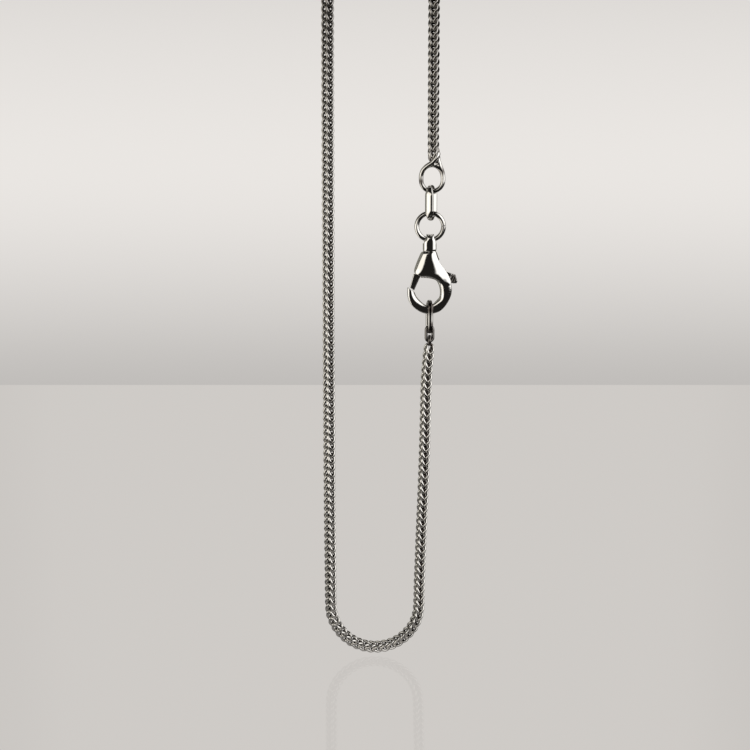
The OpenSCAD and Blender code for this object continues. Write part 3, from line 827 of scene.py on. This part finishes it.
def silver_material(name, colour, rough, wear, wear_size, tarnish_and_shade=None):
    """Polished silver: cloudy roughness, hair scratches, and a dark colour for tarnish and painted shade
    where the metal isn't clean and lit.
    """
    material, nodes, links = new_material(name)
    out = nodes.new("ShaderNodeOutputMaterial")
    shader = node_of(nodes, "ShaderNodeBsdfPrincipled", Metallic=1.0)
    coords = nodes.new("ShaderNodeTexCoord")
    cloud = node_of(nodes, "ShaderNodeTexNoise", Scale=wear_size, Detail=4.0)
    stretch = nodes.new("ShaderNodeMapping")
    stretch.inputs["Scale"].default_value = SCRATCH_STRETCH
    stretch.inputs["Rotation"].default_value = SCRATCH_TURN
    hair = node_of(nodes, "ShaderNodeTexNoise", Scale=SCRATCH_SCALE, Detail=3.0)
    links.new(coords.outputs["Object"], cloud.inputs["Vector"])
    links.new(coords.outputs["Object"], stretch.inputs["Vector"])
    links.new(stretch.outputs["Vector"], hair.inputs["Vector"])
    roughness = node_of(nodes, "ShaderNodeMapRange", From_Min=0.3, From_Max=0.7,
                        To_Min=rough[0], To_Max=rough[1])
    links.new(cloud.outputs["Fac"], roughness.inputs["Value"])
    links.new(roughness.outputs["Result"], shader.inputs["Roughness"])
    bump = node_of(nodes, "ShaderNodeBump", Strength=wear, Distance=SCRATCH_DEPTH)
    links.new(hair.outputs["Fac"], bump.inputs["Height"])
    links.new(bump.outputs["Normal"], shader.inputs["Normal"])
    tone = nodes.new("ShaderNodeMix")
    tone.data_type = "RGBA"
    tone.inputs["A"].default_value = (*[CLOUD_TONE * c for c in colour], 1)
    tone.inputs["B"].default_value = (*colour, 1)
    links.new(cloud.outputs["Fac"], tone.inputs["Factor"])
    colour_out = tone.outputs["Result"]
    if tarnish_and_shade:
        # The dark colour comes in where the attribute is low: tarnish, and painted shade
        clean_and_lit = nodes.new("ShaderNodeAttribute")
        clean_and_lit.attribute_name = "clean_and_lit"
        mix = nodes.new("ShaderNodeMix")
        mix.data_type = "RGBA"
        mix.inputs["A"].default_value = (*tarnish_and_shade, 1)
        links.new(clean_and_lit.outputs["Fac"], mix.inputs["Factor"])
        links.new(colour_out, mix.inputs["B"])
        colour_out = mix.outputs["Result"]
    links.new(colour_out, shader.inputs["Base Color"])
    links.new(shader.outputs["BSDF"], out.inputs["Surface"])
    return material


SILVERS = {
    "chain_silver": silver_material("chain_silver", (0.90, 0.88, 0.85), (0.07, 0.16), 0.10, 1400.0, TARNISH_AND_SHADE),
    "ring_silver": silver_material("ring_silver", (0.91, 0.895, 0.87), (0.04, 0.11), 0.05, 900.0, TARNISH_AND_SHADE),
    "clasp_silver": silver_material("clasp_silver", (0.91, 0.90, 0.88), (0.03, 0.09), 0.04, 700.0),
    "lever_silver": silver_material("lever_silver", (0.90, 0.885, 0.865), (0.06, 0.14), 0.06, 1100.0,
                                    TARNISH_AND_SHADE),
}
# The floor's light, and its share and roughness of gloss
FLOOR_GLOW, FLOOR_GLOSS, FLOOR_ROUGHNESS = (0.622, 0.597, 0.571), 0.07, 0.03
# Painted light on the glowing backdrop: its grey at heights in mm
BACKDROP_PAINTED_LIGHT = [(-310, 0.50), (-270, 0.615), (-225, 0.74), (-180, 0.82), (-130, 0.785), (-73, 0.73),
                  (300, 0.6)]


def floor_material():
    """Pale paper that shows a faint reflection of the chain."""
    material, nodes, links = new_material("floor_paper")
    out = nodes.new("ShaderNodeOutputMaterial")
    glow = nodes.new("ShaderNodeEmission")
    glow.inputs["Color"].default_value = (*FLOOR_GLOW, 1)
    shader = nodes.new("ShaderNodeBsdfGlossy")
    shader.inputs["Roughness"].default_value = FLOOR_ROUGHNESS
    mix = nodes.new("ShaderNodeMixShader")
    mix.inputs["Fac"].default_value = FLOOR_GLOSS
    links.new(glow.outputs["Emission"], mix.inputs[1])
    links.new(shader.outputs["BSDF"], mix.inputs[2])
    links.new(mix.outputs["Shader"], out.inputs["Surface"])
    return material


def backdrop_material():
    """Glowing paper with painted light, whose grey changes with the height."""
    material, nodes, links = new_material("backdrop_painted_light")
    out = nodes.new("ShaderNodeOutputMaterial")
    glow = nodes.new("ShaderNodeEmission")
    coords = nodes.new("ShaderNodeTexCoord")
    split = nodes.new("ShaderNodeSeparateXYZ")
    height = nodes.new("ShaderNodeMapRange")
    low, high = BACKDROP_PAINTED_LIGHT[0][0], BACKDROP_PAINTED_LIGHT[-1][0]
    height.inputs["From Min"].default_value = low * MM
    height.inputs["From Max"].default_value = high * MM
    ramp = nodes.new("ShaderNodeValToRGB")
    stops = ramp.color_ramp
    stops.interpolation = "B_SPLINE"
    while len(stops.elements) < len(BACKDROP_PAINTED_LIGHT):
        stops.elements.new(0.5)
    for stop, (z, tone) in zip(stops.elements, BACKDROP_PAINTED_LIGHT):
        stop.position = (z - low) / (high - low)
        stop.color = (*[tone * t for t in BACKDROP_TINT], 1)
    links.new(coords.outputs["Object"], split.inputs["Vector"])
    links.new(split.outputs["Z"], height.inputs["Value"])
    links.new(height.outputs["Result"], ramp.inputs["Fac"])
    links.new(ramp.outputs["Color"], glow.inputs["Color"])
    links.new(glow.outputs["Emission"], out.inputs["Surface"])
    return material


def painted_light():
    """Light as painted on the points of a mesh."""
    material, nodes, links = new_material("painted_light")
    out = nodes.new("ShaderNodeOutputMaterial")
    glow = nodes.new("ShaderNodeEmission")
    tones = nodes.new("ShaderNodeAttribute")
    tones.attribute_name = "light"
    links.new(tones.outputs["Color"], glow.inputs["Color"])
    links.new(glow.outputs["Emission"], out.inputs["Surface"])
    return material


floor.data.materials.append(floor_material())
backdrop.data.materials.append(backdrop_material())
panel_light = painted_light()
for piece in light_pieces:
    piece.data.materials.append(panel_light)

# Lights and world
SOFTBOX_DISTANCE, SOFTBOX_RADIANCE = 0.6, 0.3
WORLD_GLOW = (0.02, 0.019, 0.018)


def softbox(name, azimuths, elevations):
    """A soft light that spans these angles as seen from the necklace; azimuth 0 is towards the camera."""
    (left, right), (low, high) = azimuths, elevations
    data = bpy.data.lights.new(name, "AREA")
    data.shape = "RECTANGLE"
    width = 2 * SOFTBOX_DISTANCE * math.tan(math.radians(right - left) / 2)
    height = 2 * SOFTBOX_DISTANCE * math.tan(math.radians(high - low) / 2)
    data.size, data.size_y = width, height
    data.energy = SOFTBOX_RADIANCE * math.pi * width * height
    light = bpy.data.objects.new(name, data)
    bpy.context.scene.collection.objects.link(light)
    a, e = math.radians((left + right) / 2), math.radians((low + high) / 2)
    away = Vector((math.sin(a) * math.cos(e), -math.cos(a) * math.cos(e), math.sin(e)))
    light.location = Vector((0, 0, SPHERE_CENTRE_Z * MM)) + away * SOFTBOX_DISTANCE
    light.rotation_mode = "QUATERNION"
    light.rotation_quaternion = away.to_track_quat("Z", "Y")


softbox("left_softbox", (-75, -45), (-14, 4))
softbox("right_softbox", (40, 90), (8, 34))

world = bpy.data.worlds.new("studio")
world.use_nodes = True
bpy.context.scene.world = world
world.node_tree.nodes["Background"].inputs["Color"].default_value = (*WORLD_GLOW, 1)
bpy.context.scene.view_settings.view_transform = "Standard"

# Bodies, replaced nodes and slots: piece, body, replaced node, slot
ROLES = [
    *[(piece, "necklace", "foxtail_chain", "chain_silver")
      for piece in (*chain_pieces, last_link, lower_eye)],
    (end_ring, "necklace", "end_ring", "ring_silver"),
    (connector, "necklace", "connector_link", "ring_silver"),
    (jump_ring, "necklace", "jump_ring", "ring_silver"),
    (clasp_body, "necklace", "clasp_body", "clasp_silver"),
    (clasp_lever, "lever", "clasp_lever", "lever_silver"),
    (end_link, "necklace", "end_link", "ring_silver"),
    (first_link, "necklace", "first_link", "ring_silver"),
]
# Painted shade on the small pieces: the share of their clean colour that each keeps; those that aren't named
# here keep all of it
LIT_SHARE_OF_PIECES = {"chain_end_upper": 0.32, "chain_end_lower": 0.12, "small_oval_link": 0.24,
                "hook_oval_link": 0.85, "end_ring_wire": 0.95, "connector_band": 0.95}
# Painted shade and dark reflections on the small pieces, in the frame: their middles, their half sizes, how
# dark
PAINTED_SHADE_PLACES = {
    "clasp_gate_lever": [((11.4, 0, -154.2), (0.8, 2, 1.4), 0.85)],
    "end_ring_wire": [((6.1, 0, -139.2), (0.9, 2, 0.6), 0.95), ((9.6, 0, -137.6), (0.8, 2, 0.7), 0.9),
                      ((6.93, 0, -140.4), (0.6, 2, 0.4), 0.6), ((8.2, 0, -140.7), (0.4, 2, 0.4), 0.8),
                      ((9.2, 0, -140.2), (0.4, 2, 0.4), 0.35)],
    "connector_band": [((8.12, -1.2, -142.5), (0.33, 0.9, 2.8), 0.9)],
    "jump_ring_wire": [((5.96, 0, -145.0), (0.5, 2, 0.5), 0.75), ((7.6, 0, -144.1), (1.0, 2, 0.4), 0.6),
                       ((9.55, 0, -146.4), (0.5, 2, 0.9), 0.6)],
    "hook_oval_link": [((7.6, -1.2, -158.4), (1.5, 2, 1.1), 0.97), ((7.6, -1.2, -159.2), (1.5, 2, 0.7), 0.95),
                       ((7.0, -1.2, -160.4), (0.35, 2, 1.0), 0.6), ((7.95, -1.2, -161.5), (0.3, 2, 0.4), 0.9),
                       ((7.6, -1.2, -162.6), (1.5, 2, 0.9), 0.9)],
}


def piece_points(piece):
    """The piece's points in mm."""
    points = np.empty(3 * len(piece.data.vertices))
    piece.data.vertices.foreach_get("co", points)
    return points.reshape(-1, 3) / MM


for piece, body, node, slot in ROLES:
    # The small pieces get their painted shade and dark reflections here
    if "clean_and_lit" not in piece.data.attributes:
        points = piece_points(piece)
        clean_and_lit = np.full(len(points), LIT_SHARE_OF_PIECES.get(piece.name, 1.0))
        # Each place paints a soft spot of shade
        for middle, half_sizes, dark in PAINTED_SHADE_PLACES.get(piece.name, []):
            clean_and_lit *= 1 - dark * np.exp(-(((points - middle) / half_sizes) ** 2).sum(axis=1))
        paint_clean_and_lit(piece, clean_and_lit)
    piece.data.materials.append(SILVERS[slot])
    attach(piece, body)
    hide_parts(node)
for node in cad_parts.values():
    for k in range(len(node.material_slots)):
        node.material_slots[k].material = SILVERS["clasp_silver"]
